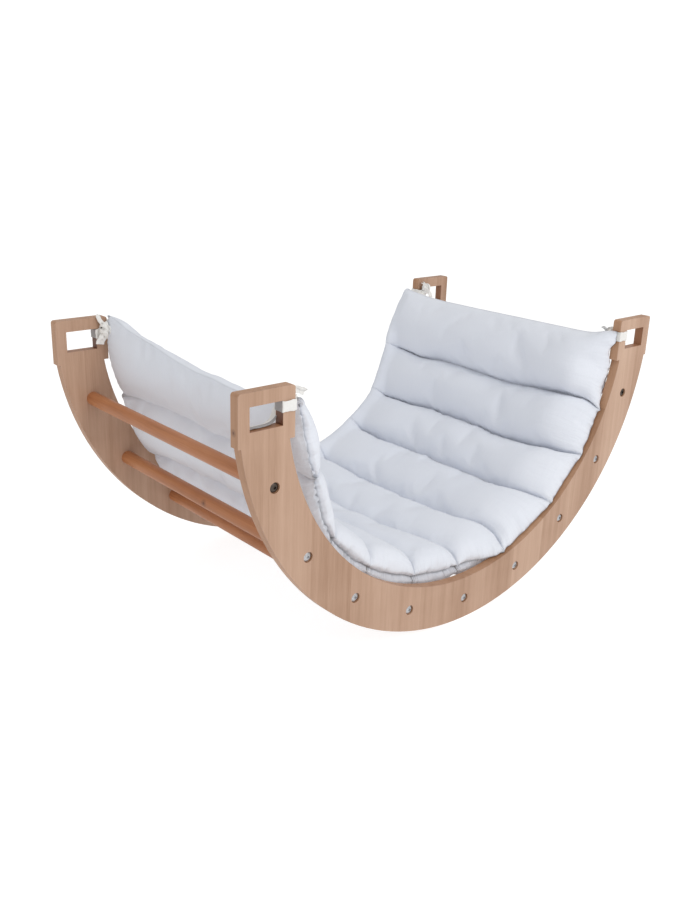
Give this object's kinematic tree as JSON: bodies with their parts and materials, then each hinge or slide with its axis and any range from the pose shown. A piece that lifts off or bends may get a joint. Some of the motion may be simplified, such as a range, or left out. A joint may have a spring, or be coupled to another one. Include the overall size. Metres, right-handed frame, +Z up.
{
  "type": "rocking cradle and climbing arch",
  "caption": "Wooden rocking seesaw for small children: curved side panels with slotted heads, round bolted rungs and a channelled cushion tied in at its corners.",
  "frame": {"origin": "on the floor, midway between the two runners, under the middle of the seat", "axes": "+X along the length from head to head, +Y from the front side panel to the back one, +Z up"},
  "size_m": [1, 0.5776, 0.509],
  "materials": {
    "panel_wood": "satin",
    "rung_wood": "satin",
    "bolt_steel": "satin",
    "insert_brass": "satin",
    "cover_cotton": "matte",
    "stuffing_fibre": "matte",
    "tie_tape": "matte"
  },
  "bodies": {
    "root": {"side_panel_front": "panel_wood", "side_panel_back": "panel_wood", "rung_1": "rung_wood", "rung_2": "rung_wood", "rung_3": "rung_wood", "rung_4": "rung_wood", "rung_5": "rung_wood", "rung_6": "rung_wood", "rung_7": "rung_wood", "rung_8": "rung_wood", "rung_9": "rung_wood", "rung_bolts_front": "bolt_steel", "rung_bolts_back": "bolt_steel", "rung_inserts_front": "insert_brass", "rung_inserts_back": "insert_brass", "cushion_cover": "cover_cotton", "cushion_fill_1": "stuffing_fibre", "cushion_fill_2": "stuffing_fibre", "cushion_fill_3": "stuffing_fibre", "cushion_fill_4": "stuffing_fibre", "cushion_fill_5": "stuffing_fibre", "cushion_fill_6": "stuffing_fibre", "cushion_fill_7": "stuffing_fibre", "cushion_fill_8": "stuffing_fibre", "cushion_fill_9": "stuffing_fibre", "cushion_fill_10": "stuffing_fibre", "tie_front_left": "tie_tape", "tie_front_right": "tie_tape", "tie_back_left": "tie_tape", "tie_back_right": "tie_tape"}
  },
  "joints": []
}
